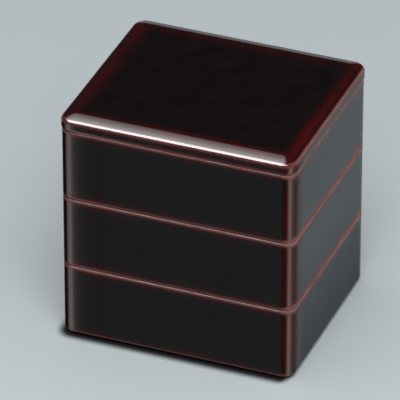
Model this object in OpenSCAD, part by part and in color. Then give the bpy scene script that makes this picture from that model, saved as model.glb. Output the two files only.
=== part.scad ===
// Stacking lacquer food box: three equal tiers and a bevelled lid.
// Each tier is four finger-jointed wall boards round a pegged base board,
// with a mitred step under it that drops into the mouth of the tier below.
// The lid is a bevelled panel on four mitred rails, with a lip that drops
// into the top tier in the same way.
// The origin is on the table, under the middle of the box; the front faces -Y.

/* [Overall] */
// Width of a tier across its front
box_w = 195; // [150:1:240]
// Depth of a tier from front to back
box_d = 167; // [130:1:220]
// Height of one tier's walls, from seam to seam
tier_h = 62; // [45:1:80]
// Radius of the upright outer corners
corner_r = 10; // [6.5:0.5:12]

/* [Walls] */
// Thickness of a wall board
wall_t = 5.5; // [4.5:0.5:6]
// Rounding of the outer edge of the rim
rim_r = 2; // [0.8:0.2:2.4]
// Rounding of the outer edge at the foot of the walls
toe_r = 2.2; // [0.8:0.2:2.6]
// Number of fingers up each corner, counted on both boards together
finger_count = 5; // [3:2:9]

/* [Base board] */
// Thickness of a base board
base_t = 4.5; // [3.5:0.5:6]
// How far a base board is let into the walls
rebate = 2.5; // [1.5:0.5:3]

/* [Pegs] */
// Diameter of a bamboo peg
peg_d = 1.8; // [1.2:0.2:2.4]
// Length of a peg
peg_l = 12; // [9:1:16]
// How far a peg's head is set below the wall's face
peg_sink = 0.4; // [0.2:0.1:1]
// Room round a peg in its hole
peg_play = 0.05; // [0.05:0.05:0.15]
// Pegs along the front, and as many along the back
pegs_front = 4; // [2:1:6]
// Pegs along each side
pegs_side = 3; // [2:1:5]
// Distance from a corner to the first peg
peg_inset = 26; // [20:1:40]

/* [Locating step] */
// How far a step or the lid's lip drops into the mouth below
step_h = 3; // [2:0.5:5]
// Width of a step strip
step_w = 8; // [5:1:14]
// Room between a step or lip and the walls round it
step_gap = 0.5; // [0.3:0.1:1]

/* [Lid] */
// How far the lid stands proud of the tiers all round
lid_proud = 0.6; // [0.2:0.1:1.5]
// Height of the lid's rails
rail_h = 5.6; // [4:0.2:9]
// Rounding of the rails' lower outer edge
rail_toe_r = 2; // [1:0.2:3]
// Thickness of the lid's panel at its flat middle
panel_t = 7; // [6:0.2:10]
// Width of the sloping bevel round the panel, from its side
bevel_w = 11; // [9:0.5:16]
// Slope of the bevel, in degrees
bevel_slope = 16; // [8:1:18]
// Radius of the roll from the bevel into the side
roll_r = 3.4; // [2:0.2:4]
// Thickness of a lip strip
lip_t = 3; // [2:0.5:5]

/* [Hidden] */
tiers = ["bottom", "middle", "top"];
sides = ["front", "right", "back", "left"];

$fn = 48;
edge_steps = 6;
cut_over = 1;
quarter = 90;

lacquer = [0.11, 0.07, 0.07];
lacquer_edge = [0.27, 0.09, 0.07];
vermilion = [0.62, 0.14, 0.09];
bamboo = [0.74, 0.60, 0.40];

finger_h = tier_h / finger_count;
mouth_w = box_w - 2 * wall_t;
mouth_d = box_d - 2 * wall_t;
base_w = mouth_w + 2 * rebate;
base_d = mouth_d + 2 * rebate;
base_corner_r = corner_r - wall_t + rebate;
step_out_w = mouth_w - 2 * step_gap;
step_out_d = mouth_d - 2 * step_gap;
peg_hole_d = peg_d + 2 * peg_play;
lid_w = box_w + 2 * lid_proud;
lid_d = box_d + 2 * lid_proud;
lid_corner_r = corner_r + lid_proud;
rail_t = lid_proud + wall_t + step_gap;
lid_z = step_h + len(tiers) * tier_h;
panel_z = lid_z + rail_h;
// Height over the panel's underside of the bevel, or of the flat middle, at a distance in from its side
function bevel_z(inset) = panel_t - max(bevel_w - inset, 0) * tan(bevel_slope);
// The roll as far as the panel's edge has room for it, with an upright side left under it
roll_room = 0.95 * bevel_z(0) / (1 / cos(bevel_slope) - tan(bevel_slope));
roll_fit_r = min(roll_r, roll_room);
roll_z = bevel_z(roll_fit_r * (1 - sin(bevel_slope))) - roll_fit_r * cos(bevel_slope);

// Foot of a tier's walls; the bottom tier's own step lifts it off the table
function tier_z(tier) = step_h + search([tier], tiers)[0] * tier_h;
function is_long(side) = side == "front" || side == "back";
function side_turn(side) = search([side], sides)[0] * quarter;
function side_length(side, w, d) = is_long(side) ? w : d;
function side_reach(side, w, d) = (is_long(side) ? d : w) / 2;
function peg_count(side) = is_long(side) ? pegs_front : pegs_side;
function peg_place(side, i) =
    let (span = side_length(side, box_w, box_d) - 2 * peg_inset)
    -span / 2 + span * i / (peg_count(side) - 1);

// Points along a circle's arc, from one angle to another
function arc(x, y, r, from, to) =
    [for (i = [0:edge_steps])
        let (a = from + (to - from) * i / edge_steps)
        [x + r * cos(a), y + r * sin(a)]];

// Puts a piece drawn for the front on its own side, with the outer face at y = 0
module on_side(side, w, d) {
    rotate([0, 0, side_turn(side)])
        translate([0, -side_reach(side, w, d), 0])
            children();
}

// A block whose edge profile runs round a rectangle with round corners.
// The profile's x is the distance out from the corner's centre, its y the height.
module profiled_block(w, d, r, core_h) {
    core_w = w - 2 * r;
    core_d = d - 2 * r;
    translate([-core_w / 2, -core_d / 2, 0])
        cube([core_w, core_d, core_h]);
    for (side = sides)
        rotate([0, 0, side_turn(side) - quarter])
            translate([side_reach(side, core_w, core_d), 0, 0])
                rotate([quarter, 0, 0])
                    linear_extrude(height = side_length(side, core_w, core_d), center = true)
                        children();
    for (sx = [-1, 1])
        for (sy = [-1, 1])
            translate([sx * core_w / 2, sy * core_d / 2, 0])
                rotate([0, 0, sx > 0 ? (sy > 0 ? 0 : -quarter) : (sy > 0 ? quarter : 2 * quarter)])
                    rotate_extrude(angle = quarter)
                        children();
}

// A flat plate with round upright corners, standing on z = 0
module round_plate(w, d, r, h) {
    translate([-w / 2 + r, -d / 2, 0])
        cube([w - 2 * r, d, h]);
    translate([-w / 2, -d / 2 + r, 0])
        cube([w, d - 2 * r, h]);
    for (sx = [-1, 1])
        for (sy = [-1, 1])
            translate([sx * (w / 2 - r), sy * (d / 2 - r), 0])
                cylinder(r = r, h = h);
}

// Edge of a tier's walls: straight, with a round rim and a round foot
module wall_profile() {
    polygon(concat(
        [[0, 0]],
        arc(corner_r - toe_r, toe_r, toe_r, -quarter, 0),
        arc(corner_r - rim_r, tier_h - rim_r, rim_r, 0, quarter),
        [[0, tier_h]]
    ));
}

// Edge of the lid's rails, drawn in at the seam by its round lower edge
module rail_profile() {
    polygon(concat(
        [[0, 0]],
        arc(lid_corner_r - rail_toe_r, rail_toe_r, rail_toe_r, -quarter, 0),
        [[lid_corner_r, rail_h], [0, rail_h]]
    ));
}

// Edge of the lid's panel: a short side, the roll, and the bevel, which ends in the flat
// middle if it is narrower than the corner's radius, and else runs on to the corner's centre
module panel_profile() {
    polygon(concat(
        [[0, 0], [lid_corner_r, 0]],
        arc(lid_corner_r - roll_fit_r, roll_z, roll_fit_r, 0, quarter - bevel_slope),
        bevel_w < lid_corner_r ? [[lid_corner_r - bevel_w, panel_t]] : [],
        [[0, bevel_z(lid_corner_r)]]
    ));
}

// A bar along one side of a rectangle, mitred at both ends
module mitred_bar(side, w, d, t, h) {
    length = side_length(side, w, d);
    on_side(side, w, d)
        linear_extrude(height = h)
            polygon([
                [-length / 2, 0],
                [length / 2, 0],
                [length / 2 - t, t],
                [-length / 2 + t, t]
            ]);
}

// A wall board before its outside is rounded: the front and back boards have
// the odd fingers and the side boards the even ones
module finger_blank(side) {
    length = side_length(side, box_w, box_d);
    first = is_long(side) ? 0 : 1;
    on_side(side, box_w, box_d) {
        translate([-length / 2 + wall_t, 0, 0])
            cube([length - 2 * wall_t, wall_t, tier_h]);
        for (i = [first:2:finger_count - 1])
            translate([-length / 2, 0, i * finger_h])
                cube([length, wall_t, finger_h]);
    }
}

// Cylinders along a side's peg places, from a depth inwards, half way up the base board
module peg_row(side, d, from, length) {
    on_side(side, box_w, box_d)
        for (i = [0:peg_count(side) - 1])
            translate([peg_place(side, i), from, base_t / 2])
                rotate([-quarter, 0, 0])
                    cylinder(d = d, h = length);
}

module wall_board(tier, side) {
    color(lacquer)
        translate([0, 0, tier_z(tier)])
            difference() {
                intersection() {
                    profiled_block(box_w, box_d, corner_r, tier_h)
                        wall_profile();
                    finger_blank(side);
                }
                translate([0, 0, -cut_over])
                    round_plate(base_w, base_d, base_corner_r, base_t + cut_over);
                peg_row(side, peg_hole_d, -cut_over, wall_t + 2 * cut_over);
            }
}

module base_board(tier) {
    color(vermilion)
        translate([0, 0, tier_z(tier)])
            difference() {
                round_plate(base_w, base_d, base_corner_r, base_t);
                for (side = sides)
                    peg_row(side, peg_hole_d, 0, peg_sink + peg_l + peg_play);
            }
}

module base_pegs(tier) {
    color(bamboo)
        translate([0, 0, tier_z(tier)])
            for (side = sides)
                peg_row(side, peg_d, peg_sink, peg_l);
}

module step_strip(tier, side) {
    color(lacquer)
        translate([0, 0, tier_z(tier) - step_h])
            mitred_bar(side, step_out_w, step_out_d, step_w, step_h);
}

module lid_panel() {
    field_w = lid_w - 2 * lid_corner_r;
    field_d = lid_d - 2 * lid_corner_r;
    field_in = bevel_w - lid_corner_r;
    field_h = panel_t - bevel_z(lid_corner_r);
    color(lacquer_edge)
        translate([0, 0, panel_z]) {
            profiled_block(lid_w, lid_d, lid_corner_r, bevel_z(lid_corner_r))
                panel_profile();
            if (bevel_w > lid_corner_r)
                translate([0, 0, bevel_z(lid_corner_r)])
                    intersection() {
                        hipped_field(field_w, field_d, field_in, field_h);
                        rotate([0, 0, quarter])
                            hipped_field(field_d, field_w, field_in, field_h);
                    }
        }
}

// The rise of the bevel to the flat middle, sloping on two sides only
module hipped_field(w, d, inset, h) {
    rotate([quarter, 0, 0])
        linear_extrude(height = d, center = true)
            polygon([[-w / 2, 0], [w / 2, 0], [w / 2 - inset, h], [-w / 2 + inset, h]]);
}

module lid_rail(side) {
    color(lacquer_edge)
        translate([0, 0, lid_z])
            intersection() {
                profiled_block(lid_w, lid_d, lid_corner_r, rail_h)
                    rail_profile();
                mitred_bar(side, lid_w, lid_d, rail_t, rail_h);
            }
}

module lid_lip(side) {
    color(lacquer)
        translate([0, 0, lid_z - step_h])
            mitred_bar(side, step_out_w, step_out_d, lip_t, step_h + rail_h);
}

for (tier = tiers) {
    for (side = sides) {
        wall_board(tier, side);
        step_strip(tier, side);
    }
    base_board(tier);
    base_pegs(tier);
}
lid_panel();
for (side = sides) {
    lid_rail(side);
    lid_lip(side);
}
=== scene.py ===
"""A stacking lacquered food box: three equal tiers and a bevelled lid.

The frame gives the wooden construction. Each tier and the lid get the continuous
lacquer coat that hides their joints, a vermilion lining, and a dark step or lip.
"""

import math

import bpy
import numpy as np
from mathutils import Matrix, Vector


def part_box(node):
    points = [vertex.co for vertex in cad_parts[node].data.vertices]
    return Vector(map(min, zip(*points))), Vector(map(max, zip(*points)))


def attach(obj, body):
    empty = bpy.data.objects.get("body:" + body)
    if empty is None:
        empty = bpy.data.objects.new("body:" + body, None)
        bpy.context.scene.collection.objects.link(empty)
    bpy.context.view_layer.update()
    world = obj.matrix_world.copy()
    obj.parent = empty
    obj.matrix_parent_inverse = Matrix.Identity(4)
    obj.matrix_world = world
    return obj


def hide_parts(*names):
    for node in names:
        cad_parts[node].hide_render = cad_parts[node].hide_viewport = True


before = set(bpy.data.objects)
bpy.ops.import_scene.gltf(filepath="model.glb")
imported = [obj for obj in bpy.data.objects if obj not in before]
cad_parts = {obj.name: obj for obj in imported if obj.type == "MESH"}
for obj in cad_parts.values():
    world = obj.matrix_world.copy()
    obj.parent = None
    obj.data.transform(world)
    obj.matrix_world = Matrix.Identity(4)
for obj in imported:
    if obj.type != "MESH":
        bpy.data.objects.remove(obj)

MM = 0.001
TIERS = ("bottom", "middle", "top")
SIDES = ("front", "right", "back", "left")

# Roundings of the finished lacquer, in metres
CORNER_R = 10.0 * MM
RIM_R = 2.0 * MM
RIM_INNER_R = 0.7 * MM
TOE_R = 2.2 * MM
STEP_EDGE_R = 0.6 * MM
LID_TOE_R = 2.0 * MM
LID_ROLL_R = 3.4 * MM

# The lid's bevel: its width, its slopes next to the roll and the flat top, and the crease
# where it meets the flat top
LID_BEVEL_W = 11.0 * MM
LID_BEVEL_FOOT = math.radians(19.5)
LID_BEVEL_HEAD = math.radians(12.5)
LID_CREASE_R = 2.0 * MM
LID_CREASE_W = 3.0 * MM

# The vermilion linings: their thickness, how far they bite into the wood and end below the
# rim, and their roundings
LINING_THICK = 0.3 * MM
LINING_BITE = 0.1 * MM
LINING_DROP = 1.0 * MM
LINING_CORNER_R = 3.0 * MM
LINING_FILLET_R = 3.0 * MM
LINING_LEAST_R = 0.5 * MM

# Rings across flat fields: insets on a lining's floor, as shares of its half size, and
# insets in millimetres from the lid's crease and, under its panel, from its edge
LINING_FIELD = (0.85, 0.6, 0.35)
LID_FIELD = (1.5, 3.5, 6.0, 9.0, 13.0, 18.0, 25.0, 35.0, 50.0, 65.0)
LID_UNDER = (60.0, 30.0)

# How finely arcs and sides are divided
CORNER_STEPS = 12
SIDE_STEPS = 28
ROUND_STEPS = 10
RIM_INNER_STEPS = 6
TIER_SIDE_STEPS = 24
LINING_STEPS = 8
LINING_LIP_STEPS = 6
STEP_EDGE_STEPS = 5
BEVEL_POINTS = 27
LID_TOE_STEPS = 8
LID_ROLL_STEPS = 12

# The camera, fitted to the box's edges in the photograph
CAMERA_PLACE = (1.3603, -3.4993, 2.4520)
CAMERA_TURN = 21.41
CAMERA_DOWN = 32.086
CAMERA_LENS = 504.0
CAMERA_SENSOR = 36.0
CAMERA_REACH = 50.0

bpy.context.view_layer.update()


# Sizes read from the frame

def span(node, axis):
    """A node's lowest and highest value along one axis."""
    low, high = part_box(node)
    return low[axis], high[axis]


def tier_sizes(tier):
    """A tier's half width and depth, foot and rim heights, wall, base top and step sizes."""
    foot, rim = span(tier + "_front_board", 2)
    front, inner = span(tier + "_front_board", 1)
    step_low, step_top = span(tier + "_front_step", 2)
    step_front, step_inner = span(tier + "_front_step", 1)
    return {
        "half_w": span(tier + "_right_board", 0)[1],
        "half_d": -front,
        "foot": foot,
        "rim": rim,
        "wall": inner - front,
        "base_half_w": span(tier + "_base_board", 0)[1],
        "base_top": span(tier + "_base_board", 2)[1],
        "step_low": step_low,
        "step_top": step_top,
        "step_half_w": span(tier + "_front_step", 0)[1],
        "step_half_d": -step_front,
        "step_w": step_inner - step_front,
    }


def lid_sizes():
    """The lid's half width and depth, seam, panel and crown heights, rail and lip sizes."""
    panel_low, crown = span("lid_panel", 2)
    rail_front, rail_inner = span("lid_front_rail", 1)
    lip_front, lip_inner = span("lid_front_lip", 1)
    return {
        "half_w": span("lid_panel", 0)[1],
        "half_d": span("lid_panel", 1)[1],
        "seam": span("lid_front_rail", 2)[0],
        "panel": panel_low,
        "crown": crown,
        "rail": rail_inner - rail_front,
        "lip_low": span("lid_front_lip", 2)[0],
        "lip_half_w": span("lid_front_lip", 0)[1],
        "lip_half_d": -lip_front,
        "lip_w": lip_inner - lip_front,
    }


# Surfaces carried round a rectangle with round corners

def round_the_box():
    """Where each point of a ring lies: along the sides, and which way it faces.

    Each corner is an even fan of directions over a quarter turn, and each side is
    spaced by a sine, so that its points crowd towards the corners. The result is
    four arrays: the corner fractions across and along, and the outward direction.
    """
    across, along, turn = [], [], []
    fan = np.linspace(0.0, 1.0, CORNER_STEPS + 1)
    slide = -np.sin(np.linspace(-0.5, 0.5, SIDE_STEPS + 1)[1:-1] * math.pi)
    corners = ((1, 1), (-1, 1), (-1, -1), (1, -1))
    for quarter, (sx, sy) in enumerate(corners):
        across.append(np.full(fan.size, float(sx)))
        along.append(np.full(fan.size, float(sy)))
        turn.append((quarter + fan) * math.pi / 2)
        vertical = quarter % 2 == 1
        across.append(np.full(slide.size, float(sx)) if vertical else sx * slide)
        along.append(sy * slide if vertical else np.full(slide.size, float(sy)))
        turn.append(np.full(slide.size, (quarter + 1) * math.pi / 2))
    turn = np.concatenate(turn)
    return np.concatenate(across), np.concatenate(along), np.cos(turn), np.sin(turn)


ACROSS, ALONG, OUT_X, OUT_Y = round_the_box()
RING = ACROSS.size


def rings(half_w, half_d, inset, height, radius):
    """A grid of points: one ring for each inset, height and corner radius.

    A ring's corner centres lie at the inset rectangle's corners less the radius,
    and each point is its centre plus the radius times its outward direction.
    """
    inset, height, radius = (np.asarray(v, float)[:, None] for v in (inset, height, radius))
    x = ACROSS * (half_w - inset - radius) + radius * OUT_X
    y = ALONG * (half_d - inset - radius) + radius * OUT_Y
    return np.stack([x, y, np.broadcast_to(height, x.shape)], axis=-1)


def arc(centre_inset, centre_height, r, start, end, steps):
    """Insets and heights along an arc; the angle is 0 outwards and 90 degrees upwards."""
    a = np.radians(np.linspace(start, end, steps + 1))
    return centre_inset - r * np.cos(a), centre_height + r * np.sin(a)


def eased(start, end, steps):
    """Values from start to end, crowded towards both ends by a cosine, without the ends."""
    t = np.linspace(0.0, 1.0, steps + 1)[1:-1]
    return start + (end - start) * (1 - np.cos(t * math.pi)) / 2


def smooth_step(t):
    """Three times t squared less twice t cubed, which leaves 0 and meets 1 without a kink."""
    return t * t * (3 - 2 * t)


def grid_faces(rows, closed):
    """Quads between neighbouring rings, and between the last and the first if closed."""
    row = np.arange(rows if closed else rows - 1)[:, None] * RING
    following = (row + RING) % (rows * RING)
    col = np.arange(RING)[None, :]
    after = (col + 1) % RING
    quads = np.stack([row + col, row + after, following + after, following + col], axis=-1)
    return quads.reshape(-1, 4)


def fan_faces(rows, pole, last):
    """Triangles from a ring at one end of the grid to a pole point."""
    col = np.arange(RING)
    after = (col + 1) % RING
    start = (rows - 1) * RING if last else 0
    tip = np.full(RING, pole)
    pair = (start + col, start + after) if last else (start + after, start + col)
    return np.stack([*pair, tip], axis=-1)


def outward(points, faces):
    """Turns every face round if the mesh's signed volume is negative."""
    total = 0.0
    for block in faces:
        corner = points[block[:, 0]]
        for k in range(1, block.shape[1] - 1):
            normal = np.cross(points[block[:, k]] - corner, points[block[:, k + 1]] - corner)
            total += float((corner * normal).sum())
    return faces if total > 0 else [block[:, ::-1] for block in faces]


def build_piece(name, points, faces, material, values):
    """Makes a smooth mesh object from arrays, with one float attribute for each value."""
    points = points.reshape(-1, 3)
    faces = outward(points, faces)
    mesh = bpy.data.meshes.new(name)
    mesh.from_pydata(points.tolist(), [], [f for block in faces for f in block.tolist()])
    for key, value in values.items():
        mesh.attributes.new(key, "FLOAT", "POINT").data.foreach_set("value", value.ravel())
    mesh.polygons.foreach_set("use_smooth", np.ones(len(mesh.polygons), bool))
    mesh.materials.append(material)
    mesh.validate()
    piece = bpy.data.objects.new(name, mesh)
    bpy.context.scene.collection.objects.link(piece)
    return piece


def closed_tube(name, grid, material, values):
    """A piece whose rings close on themselves, like a picture frame."""
    return build_piece(name, grid, [grid_faces(grid.shape[0], True)], material, values)


def closed_shell(name, grid, material, values):
    """A piece whose first and last rings are both closed by a pole at their middle."""
    rows = grid.shape[0]
    poles = np.stack([grid[0].mean(0), grid[-1].mean(0)])
    points = np.concatenate([grid.reshape(-1, 3), poles])
    faces = [
        grid_faces(rows, False),
        fan_faces(rows, rows * RING, False),
        fan_faces(rows, rows * RING + 1, True),
    ]
    ends = {k: np.concatenate([v.ravel(), v[0, :1], v[-1, :1]]) for k, v in values.items()}
    return build_piece(name, points, faces, material, ends)


# How thin the lacquer lies, which makes it redder, and the painted highlight over its rolls

# How red the upright corners are on the left and the right, the lesser part of the outward
# direction from which that is full, and how far in from the outer face it fades
LEFT_THINNESS = 0.5
RIGHT_THINNESS = 1.0
UPRIGHT_SPREAD = 0.5
OUTER_FACE = 3.0 * MM
# How far red and glow, a painted highlight, spread from a roll, how much wider the glow is on
# the right, or narrower if negative, and how strong it is elsewhere
TIER_RED_REACH = 3.2 * MM
LID_RED_REACH = 1.6 * MM
GLOW_REACH = 0.9 * MM
RIGHT_GLOW_SHARE = 1.9
LID_GLOW_SHARE = -0.3
FRONT_GLOW = 0.42
# How many points at each end of a roll's arc are left out of the stretch that red, the painted
# highlight and the wear spread from
ROLL_TRIM = 2
LID_ROLL_TRIM = 3
# How far above its toe the lowest tier has neither red edge nor painted highlight on the right
RIGHT_FOOT_PLAIN = 5.0 * MM
# For each side: where the lid's red is strongest, counted from the edge, how far it
# reaches inwards and outwards from there, and how strong it is
LID_RED = {
    "right": (6.3 * MM, 4.8 * MM, 2.8 * MM, 0.95),
    "left": (8.0 * MM, 8.0 * MM, 5.0 * MM, 0.62),
    "back": (10.0 * MM, 8.0 * MM, 6.0 * MM, 0.35),
    "front": (11.0 * MM, 3.0 * MM, 30.0 * MM, 0.75),
}


def run_length(inset, height):
    """Distance travelled along a profile, point by point."""
    step = np.hypot(np.diff(inset), np.diff(height))
    return np.concatenate([[0.0], np.cumsum(step)])


def nearness(distance, reach):
    """1 at an edge, falling by a bell curve whose width is the reach."""
    return np.exp(-((distance / reach) ** 2))


def beyond(run, start, stop):
    """Distance along a profile from a stretch of it, 0 within the stretch."""
    return np.clip(np.maximum(start - run, run - stop), 0.0, None)


def worn(run, first, count, trim):
    """The stretch of a profile that an arc takes up, less a few points at each end."""
    return run[first + trim], run[first + count - 1 - trim]


def thinness(inset, run, rolls, right_share, red_reach):
    """Two values a point: red, wide round every edge, and glow, over each roll.

    A roll is a stretch of the profile. Red is the bell curve of the distance from the
    nearest roll or, on the outer face, a value that grows towards the middle of each
    upright corner. Glow, a painted highlight over the thin red, is a narrower bell curve
    of the distance from the roll alone, stronger on the right side, where it stands in
    for the light that the rolls catch there, and wider there by the share.
    """
    away = np.min([beyond(run, *roll) for roll in rolls], axis=0)[:, None]
    turned = np.minimum(np.abs(OUT_X), np.abs(OUT_Y)) / UPRIGHT_SPREAD
    strength = LEFT_THINNESS + (RIGHT_THINNESS - LEFT_THINNESS) * np.clip(0.5 + OUT_X, 0, 1)
    upright = strength * np.clip(turned, 0, 1) * nearness(inset, OUTER_FACE)[:, None]
    red = np.maximum(nearness(away, red_reach), upright)
    right = np.clip(OUT_X, 0, 1)
    reach = GLOW_REACH * (1 + right_share * right)
    glow = nearness(away, reach) * (FRONT_GLOW + (1 - FRONT_GLOW) * right)
    return {"red": red, "glow": glow}


# Node materials

# Lacquer where it is thick and where it thins, and the glow over its rolls, thin red with a
# painted highlight in it, on the tiers and the lid
LACQUER_BODY = (0.0042, 0.0024, 0.0025)
TIER_DEEP = (0.035, 0.0025, 0.0022)
TIER_GLOW = (0.36, 0.165, 0.15)
LID_DEEP = (0.05, 0.0030, 0.0035)
LID_GLOW = (0.20, 0.060, 0.048)
LACQUER_IOR = 1.5
MOTTLE_GAIN = 1.5
# How much wear dulls a tier and the lid, the wear that counts, and the shine at its ends
TIER_WEAR = 0.45
LID_WEAR = 0.0
WEAR_SPAN = (0.0, 0.16)
WORN_SHINE = (0.5, 0.08)

VERMILION = (0.52, 0.045, 0.018)
VERMILION_POOLED = (0.40, 0.030, 0.013)
VERMILION_BRUSHED = (0.33, 0.022, 0.012)
DARK_DEEP = (0.010, 0.006, 0.006)
DARK_PALE = (0.020, 0.011, 0.010)
BAMBOO_STRAW = (0.56, 0.38, 0.18)
BAMBOO_FIBRE = (0.36, 0.22, 0.09)
BAMBOO_ROUGHNESS = (0.45, 0.65)

# Noise that varies a finish: its scale and detail, the span of it that counts, and the
# values at that span's two ends
CLOUD = (22.0, 3.0, (0.3, 0.7), (0.55, 1.25))
MOTTLE = (60.0, 4.0, (0.35, 0.65), (0.0, 1.0))
STREAK = (90.0, 2.0, (0.3, 0.75), (0.6, 1.0))
POLISH = (140.0, 4.0, (0.3, 0.75), (0.035, 0.075))
VERMILION_POOL = (14.0, 3.0, (0.3, 0.7), (0.0, 1.0))
VERMILION_STROKE = (120.0, 3.0, (0.3, 0.7), (0.0, 0.35))
VERMILION_SATIN = (70.0, 3.0, (0.3, 0.7), (0.16, 0.26))
DARK_CLOUD = (35.0, 3.0, (0.3, 0.7), (0.0, 1.0))
DARK_SATIN = (90.0, 4.0, (0.3, 0.7), (0.2, 0.34))
FIBRE = (900.0, 3.0, (0.35, 0.65), (0.0, 1.0))
VERMILION_STRETCH = (1.0, 0.12, 1.0)

# Noise that raises a surface: its scale, detail and stretch; then how high it raises it
LACQUER_WAVE = (28.0, 1.0)
VERMILION_BRUSH = (160.0, 2.0, (1.0, 0.08, 1.0))
DARK_BRUSH = (180.0, 2.0, (1.0, 0.1, 1.0))
WAVE_DEPTH = 0.04 * MM
VERMILION_DEPTH = 0.02 * MM
DARK_DEPTH = 0.03 * MM
FIBRE_DEPTH = 0.05 * MM


def new_material(name):
    """A new node material, with its node tree and its Principled shader."""
    material = bpy.data.materials.new(name)
    material.use_nodes = True
    tree = material.node_tree
    shader = tree.nodes["Principled BSDF"]
    return material, tree, shader


def node(tree, kind, inputs=None, **settings):
    """Adds a node, sets its properties, and fills its inputs by name or number."""
    made = tree.nodes.new(kind)
    for key, value in settings.items():
        setattr(made, key, value)
    for key, value in (inputs or {}).items():
        if isinstance(value, bpy.types.NodeSocket):
            tree.links.new(value, made.inputs[key])
        else:
            made.inputs[key].default_value = value
    return made


def colour(r, g, b):
    """A linear colour with full alpha."""
    return (r, g, b, 1.0)


def noise(tree, scale, detail, stretch=None):
    """Noise over Object coordinates, stretched along the axes if asked."""
    place = node(tree, "ShaderNodeTexCoord").outputs["Object"]
    if stretch:
        place = node(tree, "ShaderNodeMapping", {"Vector": place, "Scale": stretch}).outputs[0]
    made = node(tree, "ShaderNodeTexNoise", {"Vector": place, "Scale": scale, "Detail": detail})
    return made.outputs["Fac"]


def reshaped(tree, value, low, high, new_low=0.0, new_high=1.0):
    """A value mapped from one range to another and held within it."""
    made = node(tree, "ShaderNodeMapRange", {
        "Value": value, "From Min": low, "From Max": high, "To Min": new_low, "To Max": new_high})
    return made.outputs["Result"]


def varied(tree, scale, detail, span, ends, stretch=None):
    """A value between two ends that follows noise."""
    return reshaped(tree, noise(tree, scale, detail, stretch), *span, *ends)


def times(tree, product, *factors):
    """Several values multiplied."""
    for factor in factors:
        product = node(tree, "ShaderNodeMath", {0: product, 1: factor}, operation="MULTIPLY").outputs[0]
    return product


def blended(tree, amount, first, second):
    """A colour mixed from the first to the second by an amount."""
    made = node(tree, "ShaderNodeMix", {0: amount, 6: first, 7: second}, data_type="RGBA")
    return made.outputs[2]


def attribute(tree, name):
    """A piece's own float attribute."""
    return node(tree, "ShaderNodeAttribute", attribute_name=name).outputs["Fac"]


def bumped(tree, height, depth):
    """A normal from a height, whose full range is a depth in metres."""
    return node(tree, "ShaderNodeBump", {"Height": height, "Strength": 1.0, "Distance": depth}).outputs[0]


def clear_lacquer(name, body, deep, glow, wear):
    """Translucent brown lacquer over red: nearly black where thick, red where it thins.

    The red and glow attributes choose the colour, broken up by slow noise; the glow is a
    painted highlight over the thin red on the rolls. Fine noise varies the polish, which the
    glow dulls as far as the wear says, and long shallow waves keep the reflections from
    being dead flat.
    """
    material, tree, shader = new_material(name)
    red = times(tree, attribute(tree, "red"), varied(tree, *CLOUD))
    paler = (MOTTLE_GAIN * c for c in body)
    mottle = blended(tree, varied(tree, *MOTTLE), colour(*body), colour(*paler))
    coat = blended(tree, red, mottle, colour(*deep))
    # The glow: a paler colour on the rolls, a painted highlight over the thin red.
    roll = times(tree, attribute(tree, "glow"), varied(tree, *STREAK))
    coat = blended(tree, roll, coat, colour(*glow))
    tree.links.new(coat, shader.inputs["Base Color"])
    worn_roll = times(tree, roll, wear)
    dulled = node(tree, "ShaderNodeMath", {0: worn_roll, 1: varied(tree, *POLISH)}, operation="ADD")
    tree.links.new(dulled.outputs[0], shader.inputs["Roughness"])
    shine = reshaped(tree, worn_roll, *WEAR_SPAN, *WORN_SHINE)
    tree.links.new(shine, shader.inputs["Specular IOR Level"])
    wave = bumped(tree, noise(tree, *LACQUER_WAVE), WAVE_DEPTH)
    tree.links.new(wave, shader.inputs["Normal"])
    shader.inputs["IOR"].default_value = LACQUER_IOR
    return material


def vermilion_lacquer():
    """Opaque vermilion lacquer, satin, with faint brush marks and darker pooling."""
    material, tree, shader = new_material("vermilion_lacquer")
    tone = blended(tree, varied(tree, *VERMILION_POOL), colour(*VERMILION_POOLED), colour(*VERMILION))
    stroke = varied(tree, *VERMILION_STROKE, VERMILION_STRETCH)
    tone = blended(tree, stroke, tone, colour(*VERMILION_BRUSHED))
    tree.links.new(tone, shader.inputs["Base Color"])
    tree.links.new(varied(tree, *VERMILION_SATIN), shader.inputs["Roughness"])
    brush = bumped(tree, noise(tree, *VERMILION_BRUSH), VERMILION_DEPTH)
    tree.links.new(brush, shader.inputs["Normal"])
    shader.inputs["IOR"].default_value = LACQUER_IOR
    return material


def dark_lacquer():
    """Near-black satin lacquer of the steps, the lip and the base boards, lightly brushed."""
    material, tree, shader = new_material("dark_lacquer")
    tone = blended(tree, varied(tree, *DARK_CLOUD), colour(*DARK_DEEP), colour(*DARK_PALE))
    tree.links.new(tone, shader.inputs["Base Color"])
    tree.links.new(varied(tree, *DARK_SATIN), shader.inputs["Roughness"])
    brush = bumped(tree, noise(tree, *DARK_BRUSH), DARK_DEPTH)
    tree.links.new(brush, shader.inputs["Normal"])
    return material


def bare_bamboo():
    """Split bamboo: pale straw, mottled by darker fibres."""
    material, tree, shader = new_material("bare_bamboo")
    fibre = varied(tree, *FIBRE)
    tone = blended(tree, fibre, colour(*BAMBOO_STRAW), colour(*BAMBOO_FIBRE))
    tree.links.new(tone, shader.inputs["Base Color"])
    tree.links.new(reshaped(tree, fibre, 0.0, 1.0, *BAMBOO_ROUGHNESS), shader.inputs["Roughness"])
    tree.links.new(bumped(tree, fibre, FIBRE_DEPTH), shader.inputs["Normal"])
    return material


# The box's pieces

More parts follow.
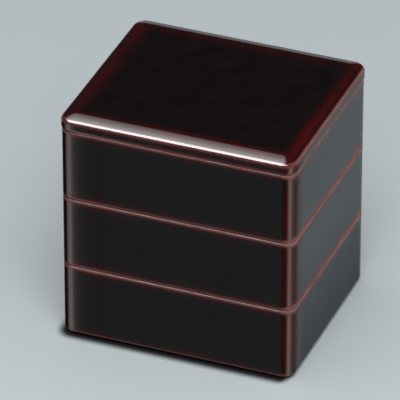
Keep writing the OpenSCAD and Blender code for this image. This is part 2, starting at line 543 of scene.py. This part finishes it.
def tier_coat(tier, s, material):
    """The lacquered walls: one closed frame whose section is the wall with round edges.

    The section runs up the outside from the foot to the rim, over it, down the inside
    to the base board, out along the rebate and back under the foot. The corner radius
    shrinks from the outside's to the lining's across the rim. On the right, the lowest
    tier's foot has neither the red edge nor the painted highlight.
    """
    wall, foot, rim = s["wall"], s["foot"], s["rim"]
    rebate_inset = s["half_w"] - s["base_half_w"]
    toe_i, toe_z = arc(TOE_R, foot + TOE_R, TOE_R, -90, 0, ROUND_STEPS)
    out_z = eased(foot + TOE_R, rim - RIM_R, TIER_SIDE_STEPS)
    rim_i, rim_z = arc(RIM_R, rim - RIM_R, RIM_R, 0, 90, ROUND_STEPS)
    in_i, in_z = arc(wall - RIM_INNER_R, rim - RIM_INNER_R, RIM_INNER_R, 90, 180, RIM_INNER_STEPS)
    inset = np.concatenate([toe_i, np.zeros(out_z.size), rim_i, in_i, [wall, rebate_inset, rebate_inset]])
    height = np.concatenate([toe_z, out_z, rim_z, in_z, [s["base_top"], s["base_top"], foot]])
    radius = np.interp(inset, [0.0, RIM_R, wall], [CORNER_R, CORNER_R - RIM_R, LINING_CORNER_R])
    radius[-2:] = CORNER_R - rebate_inset
    run = run_length(inset, height)
    rolls = [worn(run, 0, toe_i.size, ROLL_TRIM),
             worn(run, toe_i.size + out_z.size, rim_i.size, ROLL_TRIM)]
    grid = rings(s["half_w"], s["half_d"], inset, height, radius)
    values = thinness(inset, run, rolls, RIGHT_GLOW_SHARE, TIER_RED_REACH)
    # On the right, the lowest tier's foot loses its red edge and its painted highlight.
    if tier == TIERS[0]:
        low = (height < foot + TOE_R + RIGHT_FOOT_PLAIN)[:, None]
        kept = 1 - low * np.clip(OUT_X, 0, 1)
        values = {key: value * kept for key, value in values.items()}
    return closed_tube(tier + "_tier_coat", grid, material, values)


def tray_lining(name, half_w, half_d, floor, mouth, material):
    """A thin closed tray that lines a hollow: floor, fillet and walls, with a round lip.

    floor and mouth are heights; the tray opens upwards if the mouth is above the floor
    and downwards if it is below. Its outside bites a little into what it lines.
    """
    up = 1.0 if mouth > floor else -1.0
    depth = abs(mouth - floor)
    turn = LINING_THICK + LINING_FILLET_R
    lip_r = LINING_THICK / 2
    fillet_i, fillet_h = arc(turn, turn, LINING_FILLET_R, -90, 0, LINING_STEPS)
    wall_h = eased(turn, depth - lip_r, LINING_STEPS)
    lip_i, lip_h = arc(lip_r, depth - lip_r, lip_r, 180, 0, LINING_LIP_STEPS)
    field = np.array(LINING_FIELD) * min(half_w, half_d)
    inner_wall = np.full(wall_h.size, LINING_THICK)
    bite = np.full(2, -LINING_BITE)
    inset = np.concatenate([field, fillet_i, inner_wall, lip_i, bite, field[::-1]])
    outside = np.concatenate([[depth - LINING_THICK], np.full(1 + field.size, -LINING_BITE)])
    height = np.concatenate([np.full(field.size, LINING_THICK), fillet_h, wall_h, lip_h, outside])
    radius = np.clip(LINING_CORNER_R - inset, LINING_LEAST_R, None)
    grid = rings(half_w, half_d, inset, floor + up * height, radius)
    return closed_shell(name, grid, material, {})


def lip_frame(name, half_w, half_d, width, low, high, material):
    """A frame of rectangular section with its two lower edges rounded."""
    outer_i, outer_z = arc(STEP_EDGE_R, low + STEP_EDGE_R, STEP_EDGE_R, 0, -90, STEP_EDGE_STEPS)
    inner_i, inner_z = arc(width - STEP_EDGE_R, low + STEP_EDGE_R, STEP_EDGE_R, -90, -180,
                           STEP_EDGE_STEPS)
    inset = np.concatenate([[0.0], outer_i, inner_i, [width]])
    height = np.concatenate([[high], outer_z, inner_z, [high]])
    radius = np.full(inset.size, LINING_CORNER_R)
    return closed_tube(name, rings(half_w, half_d, inset, height, radius), material, {})


def bevel_line(foot_inset, crown):
    """Insets and heights of the bevel, from the roll to the flat top.

    The slope goes evenly from the foot's angle to the head's along the bevel, and by a
    smooth step to level over the crease. The height is the slope summed back from the crown.
    """
    inset = np.linspace(foot_inset, LID_BEVEL_W + LID_CREASE_W / 2, BEVEL_POINTS)
    along = np.clip((inset - foot_inset) / (LID_BEVEL_W - foot_inset), 0, 1)
    over_crease = np.clip((inset - LID_BEVEL_W) / LID_CREASE_W + 0.5, 0, 1)
    slope = LID_BEVEL_FOOT + (LID_BEVEL_HEAD - LID_BEVEL_FOOT) * along
    angle = slope * (1 - smooth_step(over_crease))
    tangent = np.tan(angle)
    rise = np.diff(inset) * (tangent[1:] + tangent[:-1]) / 2
    height = crown - np.concatenate([np.cumsum(rise[::-1])[::-1], [0.0]])
    return inset, height


def lid_profile(s):
    """Insets and heights of the lid's outside, from the seam up to the flat top.

    The toe and the roll are arcs, with the upright side between them, and the bevel
    starts at the roll's own slope. Two pairs say where the arcs' points start and how
    many they are.
    """
    seam, crown = s["seam"], s["crown"]
    foot = LID_ROLL_R * (1 - math.sin(LID_BEVEL_FOOT))
    bevel_i, bevel_h = bevel_line(foot, crown)
    roll_z = bevel_h[0] - LID_ROLL_R * math.cos(LID_BEVEL_FOOT)
    toe_i, toe_z = arc(LID_TOE_R, seam + LID_TOE_R, LID_TOE_R, -90, 0, LID_TOE_STEPS)
    side_z = eased(seam + LID_TOE_R, roll_z, LID_TOE_STEPS)
    roll_top = 90 - math.degrees(LID_BEVEL_FOOT)
    roll_i, roll_h = arc(LID_ROLL_R, roll_z, LID_ROLL_R, 0, roll_top, LID_ROLL_STEPS)
    inset = np.concatenate([toe_i, np.zeros(side_z.size), roll_i, bevel_i[1:]])
    height = np.concatenate([toe_z, side_z, roll_h, bevel_h[1:]])
    return inset, height, (0, toe_i.size), (toe_i.size + side_z.size, roll_i.size)


def lid_coat(s, material):
    """The lid's lacquered outside and its plain underside, closed at a pole above and below.

    A ring's corner radius shrinks with its inset, and inside the crease it levels off at
    the crease's own by the root of the sum of both squares.
    """
    inset, height, toe, roll = lid_profile(s)
    corner = CORNER_R + s["half_w"] - tier_sizes(TIERS[-1])["half_w"]
    field = inset[-1] + np.array(LID_FIELD) * MM
    under = np.array(LID_UNDER) * MM
    rail = np.full(2, s["rail"])
    crown = np.full(field.size, s["crown"])
    panel = np.full(under.size, s["panel"])
    inset = np.concatenate([under, rail, inset, field])
    height = np.concatenate([panel, [s["panel"], s["seam"]], height, crown])
    radius = np.sqrt(np.clip(corner - inset, 0, None) ** 2 + LID_CREASE_R ** 2)
    radius = np.minimum(radius, corner)
    start = under.size + rail.size
    radius[:start] = LINING_CORNER_R
    grid = rings(s["half_w"], s["half_d"], inset, height, radius)
    run = run_length(inset, height)
    rolls = [worn(run, start + toe[0], toe[1], ROLL_TRIM),
             worn(run, start + roll[0], roll[1], LID_ROLL_TRIM)]
    values = thinness(inset, run, rolls, LID_GLOW_SHARE, LID_RED_REACH)
    values["red"] = np.maximum(values["red"], lid_field_red(grid, s))
    return closed_shell("lid_coat", grid, material, values)


def lid_field_red(grid, s):
    """How red each point of the lid's top is: for each side, a bell curve that may lean."""
    x, y = grid[..., 0], grid[..., 1]
    edges = {
        "right": s["half_w"] - x,
        "left": s["half_w"] + x,
        "back": s["half_d"] - y,
        "front": s["half_d"] + y,
    }
    parts = []
    for side, (centre, inwards, outwards, strength) in LID_RED.items():
        gap = edges[side] - centre
        parts.append(strength * nearness(gap, np.where(gap > 0, inwards, outwards)))
    return np.max(parts, axis=0) * (grid[..., 2] > s["panel"])


def dress_tier(tier, looks):
    """Coats, lines and seats one tier."""
    s = tier_sizes(tier)
    body = tier + "_tier"
    coat = tier_coat(tier, s, looks["coat"])
    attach(coat, body)
    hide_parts(*(f"{tier}_{side}_board" for side in SIDES))
    lining = tray_lining(tier + "_tier_lining", s["half_w"] - s["wall"], s["half_d"] - s["wall"],
                         s["base_top"], s["rim"] - LINING_DROP, looks["lining"])
    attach(lining, body)
    step = lip_frame(tier + "_step_frame", s["step_half_w"], s["step_half_d"], s["step_w"],
                     s["step_low"], s["step_top"], looks["dark"])
    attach(step, body)
    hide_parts(*(f"{tier}_{side}_step" for side in SIDES))
    finish_node(tier + "_base_board", looks["dark"])
    finish_node(tier + "_base_pegs", looks["bamboo"])


def dress_lid(looks):
    """Coats and lines the lid, and gives it its lip."""
    s = lid_sizes()
    coat = lid_coat(s, looks["lid"])
    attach(coat, "lid")
    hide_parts("lid_panel", *(f"lid_{side}_rail" for side in SIDES))
    lip = lip_frame("lid_lip_frame", s["lip_half_w"], s["lip_half_d"], s["lip_w"],
                    s["lip_low"], s["panel"], looks["dark"])
    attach(lip, "lid")
    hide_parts(*(f"lid_{side}_lip" for side in SIDES))
    lining = tray_lining("lid_lining", s["lip_half_w"] - s["lip_w"], s["lip_half_d"] - s["lip_w"],
                         s["panel"], s["lip_low"] + LINING_DROP, looks["lining"])
    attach(lining, "lid")


def finish_node(name, material):
    """Gives a node of the frame its material."""
    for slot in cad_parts[name].material_slots:
        slot.material = material


# Floor, light and camera

# The floor's size, roughness and two tones, and the scale and detail of the noise that
# leads from one to the other
FLOOR_SIZE = 8.0
FLOOR_ROUGHNESS = 0.8
FLOOR_DARK = (0.49, 0.52, 0.53)
FLOOR_PALE = (0.52, 0.55, 0.56)
FLOOR_TONES = (1.2, 1.0)
# What the camera sees beyond the floor
BACKDROP = (0.33, 0.36, 0.37)
# The contact shade: how far it is moved from under the walls, between which distances from
# their outline it fades, how far from the right side it ends and is whole, and its colour
CONTACT_SHIFT = (-2.0 * MM, -2.2 * MM, 0.0)
CONTACT_SPREAD = (-3.0 * MM, 5.8 * MM)
CONTACT_END = (1.0 * MM, 8.0 * MM)
CONTACT_TONE = (0.024, 0.024, 0.025)


def xyz(tree, vector):
    """A vector's three parts."""
    return node(tree, "ShaderNodeSeparateXYZ", {0: vector}).outputs


def vector_step(tree, operation, vector, other=(0.0, 0.0, 0.0), result=0):
    """One operation on one vector or two, and one of its results."""
    made = node(tree, "ShaderNodeVectorMath", {0: vector, 1: other}, operation=operation)
    return made.outputs[result]


def contact_shade(tree):
    """1 on the floor under the box, falling to 0 a few millimetres outside its walls.

    The distance is that of the floor's point from the walls' outline, a rectangle with
    round corners, moved a little towards the front and the left. The shade ends at the
    right front corner.
    """
    walls = tier_sizes(TIERS[0])
    centres = (walls["half_w"] - CORNER_R, walls["half_d"] - CORNER_R, 0.0)
    floor = node(tree, "ShaderNodeTexCoord").outputs["Object"]
    place = vector_step(tree, "SUBTRACT", floor, CONTACT_SHIFT)
    place = vector_step(tree, "ABSOLUTE", place)
    place = vector_step(tree, "SUBTRACT", place, centres)
    place = vector_step(tree, "MAXIMUM", place)
    away = vector_step(tree, "LENGTH", place, result="Value")
    start, stop = (CORNER_R + edge for edge in CONTACT_SPREAD)
    made = node(tree, "ShaderNodeMapRange", {"Value": away, "From Min": stop, "From Max": start},
                interpolation_type="SMOOTHSTEP")
    end, full = (walls["half_w"] - gap for gap in CONTACT_END)
    side = reshaped(tree, xyz(tree, floor)["X"], end, full)
    return times(tree, made.outputs["Result"], side)


def floor_material():
    """Matt pale grey-blue paper, with a very slow change of tone and a contact shadow painted in
    near the box's walls.
    """
    material, tree, shader = new_material("backdrop_paper")
    tone = blended(tree, noise(tree, *FLOOR_TONES), colour(*FLOOR_DARK), colour(*FLOOR_PALE))
    # A contact shadow painted into the floor's colour next to the box's walls.
    tone = blended(tree, contact_shade(tree), tone, colour(*CONTACT_TONE))
    tree.links.new(tone, shader.inputs["Base Color"])
    shader.inputs["Roughness"].default_value = FLOOR_ROUGHNESS
    shader.inputs["Specular IOR Level"].default_value = 0.0
    return material


def flat_mesh(name, points, faces, material):
    """A stage object from flat polygons."""
    mesh = bpy.data.meshes.new(name)
    mesh.from_pydata(points, [], faces)
    mesh.materials.append(material)
    made = bpy.data.objects.new(name, mesh)
    bpy.context.scene.collection.objects.link(made)
    return made


def lay_floor():
    """A wide flat floor at the height that the box stands on."""
    half = FLOOR_SIZE / 2
    corners = [(-half, -half, 0), (half, -half, 0), (half, half, 0), (-half, half, 0)]
    flat_mesh("floor", corners, [(0, 1, 2, 3)], floor_material())


# Papers over the floor that only polished surfaces see, whose glow paints the reflections
# there: their height, and the distances from the box between which a short one and a long
# one melt away
PAPER_HEIGHT = 0.2 * MM
SHORT_REACH = (0.33, 0.52)
LONG_REACH = (0.60, 1.00)
REACH_STEPS = 10
# The distance over which a paper's shine rises to its full strength
NEAR_REACH = 0.16


def paper_material(name, tint):
    """Paper that shines as its shine attribute says, and hides the floor as its cover does."""
    material = bpy.data.materials.new(name)
    material.use_nodes = True
    tree = material.node_tree
    tree.nodes.clear()
    shine = node(tree, "ShaderNodeEmission",
                 {"Color": colour(*tint), "Strength": attribute(tree, "shine")})
    clear = node(tree, "ShaderNodeBsdfTransparent")
    laid = node(tree, "ShaderNodeMixShader",
                {0: attribute(tree, "cover"), 1: clear.outputs[0], 2: shine.outputs[0]})
    out = node(tree, "ShaderNodeOutputMaterial")
    tree.links.new(laid.outputs[0], out.inputs["Surface"])
    return material


def lay_paper(name, points, faces, tint, shine, cover):
    """Glowing paper over the floor that only polished surfaces see: a painted reflection."""
    paper = flat_mesh(name, points, faces, paper_material(name, tint))
    for key, value in (("shine", shine), ("cover", cover)):
        paper.data.attributes.new(key, "FLOAT", "POINT").data.foreach_set("value", value)
    paper.visible_camera = False
    paper.visible_diffuse = False
    paper.visible_transmission = False
    paper.visible_volume_scatter = False
    paper.visible_shadow = False


def lay_line_paper(name, lines, tint, shine, cover, reach, level=0, near=1.0):
    """Paper made of straight lines over the floor, each with its own shine and cover.

    Each line is what the camera sees mirrored in one upright line of the box: it starts
    under that line and runs in the mirrored direction, counted in degrees from the front
    towards the right. The shine rises evenly from its near share at the box to its full
    strength, and the cover melts away by a smooth step between the reach's distances.
    """
    start_x, start_y, turns = lines
    a = np.radians(turns)
    melting = np.linspace(*reach, REACH_STEPS)
    out = np.concatenate([[0.0, NEAR_REACH / 2, NEAR_REACH], melting])[:, None]
    x = start_x + out * np.sin(a)
    y = start_y - out * np.cos(a)
    height = np.full(x.shape, (1 + level) * PAPER_HEIGHT)
    points = np.stack([x, y, height], axis=-1).reshape(-1, 3)
    row = (np.arange(out.size - 1) * turns.size)[:, None]
    first = row + np.arange(turns.size - 1)
    beyond_first = first + turns.size
    faces = np.stack([first, first + 1, beyond_first + 1, beyond_first], axis=-1).reshape(-1, 4)
    melt = 1 - smooth_step(np.clip((out - reach[0]) / (reach[1] - reach[0]), 0, 1))
    share = near + (1 - near) * np.clip(out / NEAR_REACH, 0, 1)
    shines = (shine * share).ravel()
    covers = (cover * melt).ravel()
    lay_paper(name, points.tolist(), faces.tolist(), tint, shines, covers)


def mirrored_turn(x, y, facing):
    """Where an upright line of the box mirrors the camera's view, in degrees."""
    view = np.degrees(np.arctan2(CAMERA_PLACE[0] - x, y - CAMERA_PLACE[1]))
    return 2 * facing - view


def corner_lines(side, half_w, half_d, facing):
    """Places and mirrored turns of upright lines round a front corner; side is 1 or -1."""
    a = np.radians(facing)
    x = side * (half_w - CORNER_R) + CORNER_R * np.sin(a)
    y = CORNER_R - half_d - CORNER_R * np.cos(a)
    return np.stack([x, y, mirrored_turn(x, y, facing)])


def face_lines(x, y, facing):
    """Places and mirrored turns of upright lines of a flat face."""
    x, y = np.broadcast_arrays(np.asarray(x, float), np.asarray(y, float))
    return np.stack([x, y, mirrored_turn(x, y, facing)])


# Radiance of the papers against the way that the corner faces, in degrees, and then
# against the distance along the flat face, in millimetres
RIGHT_CORNER = ((4, 0.15), (12, 0.09), (26, 0.09), (31, 0.50), (35, 1.45), (41, 2.5), (46, 2.5),
                (51, 1.40), (57, 0.76), (64, 0.46), (71, 0.34), (80, 0.28), (90, 0.22))
RIGHT_FACE = ((0, 0.22), (2, 0.25), (4, 0.34), (6.3, 0.41), (8.4, 0.45), (16, 0.48))
LEFT_CORNER = ((-60, 0.03), (-30, 0.0), (-25, 0.1), (-19, 0.95), (-12, 1.7), (-6, 2.0), (0, 1.75))
LEFT_FACE = ((0, 1.75), (0.6, 1.3), (1.2, 0.85), (2.0, 0.69), (2.9, 0.53), (3.7, 0.46), (5.5, 0.35),
             (8, 0.30), (10.5, 0.25), (16, 0.21), (28, 0.17))
LINES_A_CORNER = 120
LINES_A_FACE = 30
# How far round each front corner the front paper reaches, in degrees, with how many
# lines, and over how many degrees each paper melts
FRONT_WRAP_LEFT = 25.0
FRONT_WRAP_RIGHT = 22.0
LINES_A_WRAP = 30
FRONT_MELT = 12.0
RIGHT_MELT = 6.0
LEFT_MELT = 12.0
# Radiance of the two plain papers, and the side one's share of it next to the box, a painted
# shade in its reflection
FRONT_RADIANCE = 0.19
SIDE_RADIANCE = 0.41
SIDE_NEAR = 0.52
PALE_TINT = (1.0, 0.93, 0.92)
PINK_TINT = (1.0, 0.74, 0.73)
FRONT_TINT = (0.98, 1.1, 1.18)
SIDE_TINT = (0.90, 1.02, 1.08)


def read_table(table, count):
    """Evenly spaced places over a table's range, and its values there."""
    places, values = np.array(table).T
    spaced = np.linspace(places[0], places[-1], count)
    return spaced, np.interp(spaced, places, values)


def lay_front_paper(half_w, half_d):
    """Dark paper before the front face, a painted dark reflection that keeps it deep."""
    left = np.linspace(-FRONT_WRAP_LEFT, 0.0, LINES_A_WRAP)
    right = np.linspace(0.0, FRONT_WRAP_RIGHT, LINES_A_WRAP)
    between = np.linspace(CORNER_R - half_w, half_w - CORNER_R, LINES_A_FACE)
    lines = np.concatenate([
        corner_lines(-1, half_w, half_d, left),
        face_lines(between, -half_d, 0.0),
        corner_lines(1, half_w, half_d, right)], axis=1)
    cover = np.concatenate([
        1 + left / FRONT_WRAP_LEFT,
        np.ones(between.size),
        np.clip((FRONT_WRAP_RIGHT - right) / FRONT_MELT, 0, 1)])
    shine = np.full(cover.size, FRONT_RADIANCE)
    lay_line_paper("front_paper", lines, FRONT_TINT, shine, cover, LONG_REACH)


def lay_side_paper(half_w, half_d):
    """Greyer paper beside the right face, darker next to the box: a painted reflection with painted shade
    near the box.
    """
    along = np.linspace(CORNER_R - half_d, half_d - CORNER_R, LINES_A_FACE)
    lines = face_lines(half_w, along, 90.0)
    cover = np.clip((half_d - CORNER_R / 2 - along) / CORNER_R, 0, 1)
    shine = np.full(cover.size, SIDE_RADIANCE)
    lay_line_paper("side_paper", lines, SIDE_TINT, shine, cover, SHORT_REACH, near=SIDE_NEAR)


def lay_right_paper(half_w, half_d):
    """Pinkish paper off the right front corner, melting into the paper beside the right face; it paints
    the corner's highlight.
    """
    facing, corner_shine = read_table(RIGHT_CORNER, LINES_A_CORNER)
    along, face_shine = read_table(RIGHT_FACE, LINES_A_FACE)
    lines = np.concatenate([
        corner_lines(1, half_w, half_d, facing),
        face_lines(half_w, CORNER_R - half_d + along * MM, 90.0)], axis=1)
    cover = np.concatenate([np.clip((facing - facing[0]) / RIGHT_MELT, 0, 1), 1 - along / along[-1]])
    shine = np.concatenate([corner_shine, face_shine])
    lay_line_paper("right_paper", lines, PINK_TINT, shine, cover, SHORT_REACH, level=1)


def lay_left_paper(half_w, half_d):
    """Pale paper off the left front corner, darker towards the middle of the front face; it paints the
    corner's highlight.
    """
    facing, corner_shine = read_table(LEFT_CORNER, LINES_A_CORNER)
    along, face_shine = read_table(LEFT_FACE, LINES_A_FACE)
    lines = np.concatenate([
        corner_lines(-1, half_w, half_d, facing),
        face_lines(CORNER_R - half_w + along * MM, -half_d, 0.0)], axis=1)
    cover = np.concatenate([np.clip((facing - facing[0]) / LEFT_MELT, 0, 1), np.ones(along.size)])
    shine = np.concatenate([corner_shine, face_shine])
    lay_line_paper("left_paper", lines, PALE_TINT, shine, cover, SHORT_REACH, level=1)


# The painted studio. Each pair says where a ramp over one part of the direction is 0 and
# where it is 1. The strip light's left, right and lower ends:
STRIP_LEFT = (-0.71, -0.45)
STRIP_RIGHT = (-0.06, -0.20)
STRIP_LOW = (0.50, 0.60)
# The wide end's middle, how near to it a direction is by their dot product, and its back
# and lower ends
CORNER_LIGHT = (-0.306, -0.35, 0.885)
CORNER_NEARNESS = (0.72, 0.91)
CORNER_BACK = (-0.15, -0.30)
CORNER_LOW = (0.72, 0.80)
GLOW_RADIANCE = 22.0
# The strip light's level against the direction's y, from the back to the front
GLOW_STOPS = ((0.56, 0.0), (0.513, 0.026), (0.397, 0.125), (0.273, 0.33), (0.192, 0.53), (0.110, 0.85),
              (0.045, 1.0), (-0.65, 1.0), (-0.76, 0.75), (-0.85, 0.25), (-0.95, 0.0))
# The pale horizon's upper end, and the left, upper and front ends of a pale wall behind
# and to the right
HORIZON_TOP = (0.16, 0.03)
WALL_LEFT = (0.40, 0.52)
WALL_TOP = (0.40, 0.28)
WALL_FRONT = (0.30, 0.60)
CEILING_TONE = (0.030, 0.030, 0.032)
HORIZON_TONE = (0.46, 0.50, 0.52)
WALL_TONE = (0.95, 0.90, 0.88)
# The ceiling that matt surfaces see: the heights of the direction between which it gets
# brighter, its two levels and its tint
FILL_RISE = (0.5, 0.9)
FILL_LEVELS = (0.08, 1.2)
FILL_TINT = (0.97, 1.0, 1.01)
# The lamps: place, aim, width and height, surface brightness and tint
KEY_LAMP = ((0.48, -1.1, 1.6), (0.0, 0.0, 0.05), (1.2, 1.2), 5.3, (0.93, 1.0, 1.02))
FILL_LAMP = ((2.2, -0.6, 1.6), (0.0, 0.0, 0.1), (1.6, 1.6), 0.25, (1.0, 1.0, 1.0))


def level_curve(tree, value, stops):
    """A level read from a table of stops over a value between -1 and 1, and 0 at its ends."""
    curve = node(tree, "ShaderNodeValToRGB", {"Fac": reshaped(tree, value, 1.0, -1.0)})
    for end in curve.color_ramp.elements:
        end.color = colour(0, 0, 0)
    for place, level in stops:
        curve.color_ramp.elements.new((1 - place) / 2).color = colour(level, level, level)
    return curve.outputs["Color"]


def strip_light(tree, way, parts):
    """Level of the great soft light: a strip over the box, wider where the front corners see it.

    The strip's level follows the direction's y by the stops, within two ramps over x.
    The wide end is a cone about the corner light's direction, in front and high up only.
    """
    left = reshaped(tree, parts["X"], *STRIP_LEFT)
    right = reshaped(tree, parts["X"], *STRIP_RIGHT)
    strip = times(tree, left, right, level_curve(tree, parts["Y"], GLOW_STOPS))
    towards = vector_step(tree, "DOT_PRODUCT", way, CORNER_LIGHT, "Value")
    wide_end = times(tree, reshaped(tree, towards, *CORNER_NEARNESS),
                     reshaped(tree, parts["Y"], *CORNER_BACK), reshaped(tree, parts["Z"], *CORNER_LOW))
    either = node(tree, "ShaderNodeMath", {0: strip, 1: wide_end}, operation="MAXIMUM").outputs[0]
    return times(tree, either, reshaped(tree, parts["Z"], *STRIP_LOW))


def background(tree, tone, strength=1.0):
    """A background of one colour and strength."""
    return node(tree, "ShaderNodeBackground", {"Color": tone, "Strength": strength}).outputs[0]


def mixed(tree, amount, first, second):
    """One shader that gives way to another by an amount."""
    return node(tree, "ShaderNodeMixShader", {0: amount, 1: first, 2: second}).outputs[0]


def polished_view(tree, way):
    """What polished surfaces see: a pale horizon and wall, a dark ceiling and the strip light."""
    parts = xyz(tree, way)
    horizon = reshaped(tree, parts["Z"], *HORIZON_TOP)
    wall = times(tree, reshaped(tree, parts["X"], *WALL_LEFT), reshaped(tree, parts["Z"], *WALL_TOP),
                 reshaped(tree, parts["Y"], *WALL_FRONT))
    room = blended(tree, horizon, colour(*CEILING_TONE), colour(*HORIZON_TONE))
    room = blended(tree, wall, room, colour(*WALL_TONE))
    level = times(tree, strip_light(tree, way, parts), GLOW_RADIANCE)
    glow = background(tree, colour(1, 1, 1), level)
    return node(tree, "ShaderNodeAddShader", {0: background(tree, room), 1: glow}).outputs[0]


def set_world():
    """The camera sees a plain backdrop, polished surfaces a painted studio, matt ones a ceiling."""
    world = bpy.data.worlds.new("studio")
    world.use_nodes = True
    bpy.context.scene.world = world
    tree = world.node_tree
    tree.nodes.clear()
    way = node(tree, "ShaderNodeTexCoord").outputs["Generated"]
    ceiling = reshaped(tree, xyz(tree, way)["Z"], *FILL_RISE, *FILL_LEVELS)
    rays = node(tree, "ShaderNodeLightPath").outputs
    polished = node(tree, "ShaderNodeMath", {0: rays["Is Glossy Ray"], 1: rays["Is Transmission Ray"]},
                    operation="ADD", use_clamp=True).outputs[0]
    lit = mixed(tree, polished, background(tree, colour(*FILL_TINT), ceiling), polished_view(tree, way))
    seen = mixed(tree, rays["Is Camera Ray"], lit, background(tree, colour(*BACKDROP)))
    out = node(tree, "ShaderNodeOutputWorld")
    tree.links.new(seen, out.inputs["Surface"])


def softbox(name, place, aim, size, radiance, tint):
    """A rectangular lamp at a place, turned to a point, with a given surface brightness.

    Only matt surfaces see it: the world paints what polished ones do.
    """
    lamp = bpy.data.lights.new(name, "AREA")
    lamp.shape = "RECTANGLE"
    lamp.size, lamp.size_y = size
    lamp.energy = radiance * math.pi * size[0] * size[1]
    lamp.color = tint
    made = bpy.data.objects.new(name, lamp)
    made.location = place
    made.rotation_euler = (Vector(place) - Vector(aim)).to_track_quat("Z", "Y").to_euler()
    bpy.context.scene.collection.objects.link(made)
    made.visible_camera = False
    made.visible_glossy = False


def light_the_box():
    """Key from the right front, high up, and a soft fill from the right."""
    softbox("key", *KEY_LAMP)
    softbox("fill", *FILL_LAMP)


def set_camera():
    """The fitted camera: a long lens from the right front, looking down."""
    lens = bpy.data.cameras.new("camera")
    lens.lens = CAMERA_LENS
    lens.sensor_width = CAMERA_SENSOR
    lens.clip_end = CAMERA_REACH
    camera = bpy.data.objects.new("camera", lens)
    camera.location = CAMERA_PLACE
    camera.rotation_euler = (math.radians(90 - CAMERA_DOWN), 0.0, math.radians(CAMERA_TURN))
    bpy.context.scene.collection.objects.link(camera)
    bpy.context.scene.camera = camera


def main():
    """Dresses the tiers and the lid, then sets the stage."""
    looks = {
        "coat": clear_lacquer("tier_lacquer", LACQUER_BODY, TIER_DEEP, TIER_GLOW, TIER_WEAR),
        "lid": clear_lacquer("lid_lacquer", LACQUER_BODY, LID_DEEP, LID_GLOW, LID_WEAR),
        "lining": vermilion_lacquer(),
        "dark": dark_lacquer(),
        "bamboo": bare_bamboo(),
    }
    for tier in TIERS:
        dress_tier(tier, looks)
    dress_lid(looks)
    lay_floor()
    walls = tier_sizes(TIERS[0])
    for lay in (lay_front_paper, lay_side_paper, lay_right_paper, lay_left_paper):
        lay(walls["half_w"], walls["half_d"])
    set_world()
    light_the_box()
    set_camera()
    bpy.context.scene.view_settings.view_transform = "Standard"


main()
